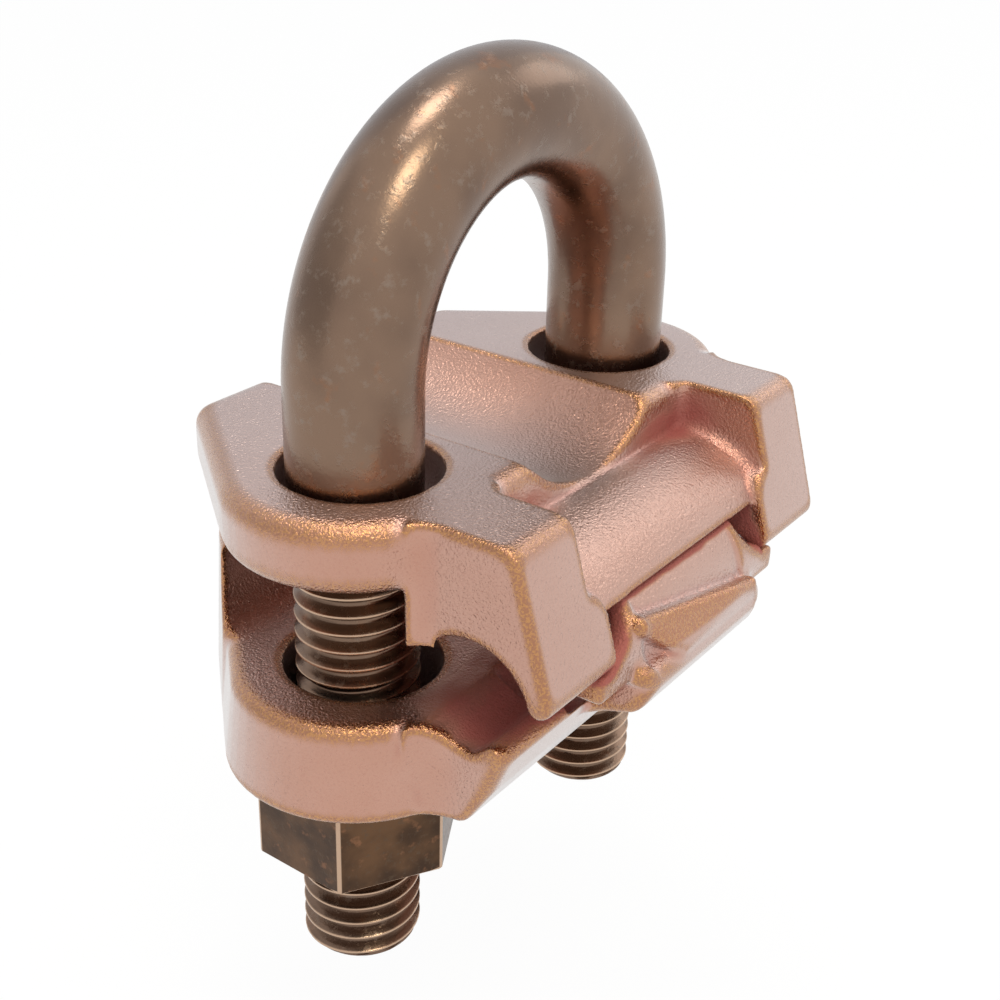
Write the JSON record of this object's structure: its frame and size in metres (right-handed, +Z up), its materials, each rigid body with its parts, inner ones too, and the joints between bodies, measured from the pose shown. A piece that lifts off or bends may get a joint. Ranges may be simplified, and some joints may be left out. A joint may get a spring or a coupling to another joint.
{
  "type": "mechanical grounding connector",
  "caption": "Bronze U-bolt clamp that joins a ground rod to a cable: a cast saddle with hooked claws and a cast keeper, drawn together by hex nuts on the threaded legs.",
  "frame": {"origin": "midway between the two legs, level with the saddle's top face, where the rod is clamped", "axes": "+Z up the legs toward the bend, +X from the near leg to the far leg, +Y along the rod, away from the cable jaw"},
  "size_m": [0.071, 0.0513, 0.0939],
  "materials": {
    "cast_bronze": "sand-cast, matt, with a fine grain",
    "bar_bronze": "drawn bar with a dull brown patina"
  },
  "bodies": {
    "u_bolt": {"u_bolt": "bar_bronze"},
    "saddle": {"saddle": "cast_bronze"},
    "keeper": {"keeper": "cast_bronze"},
    "nut_near": {"nut_near": "bar_bronze"},
    "nut_far": {"nut_far": "bar_bronze"}
  },
  "joints": [
    {"name": "saddle_slide", "type": "slide", "parent": "u_bolt", "child": "saddle", "axis": [0, 0, 1], "range_m": [0, 0.014]},
    {"name": "keeper_slide", "type": "slide", "parent": "u_bolt", "child": "keeper", "axis": [0, 0, 1], "range_m": [-0.013, 0]},
    {"name": "nut_near_turn", "type": "hinge", "parent": "keeper", "child": "nut_near", "pos_m": [-0.0218, 0, -0.0365], "axis": [0, 0, 1], "range_deg": [-2420, 5]},
    {"name": "nut_far_turn", "type": "hinge", "parent": "keeper", "child": "nut_far", "pos_m": [0.0218, 0, -0.0365], "axis": [0, 0, 1], "range_deg": [-2420, 5]}
  ],
  "couplings": [
    {"joint": "nut_near_turn", "follows": "keeper_slide", "rad_per_m": 3215.9},
    {"joint": "nut_far_turn", "follows": "keeper_slide", "rad_per_m": 3215.9}
  ]
}
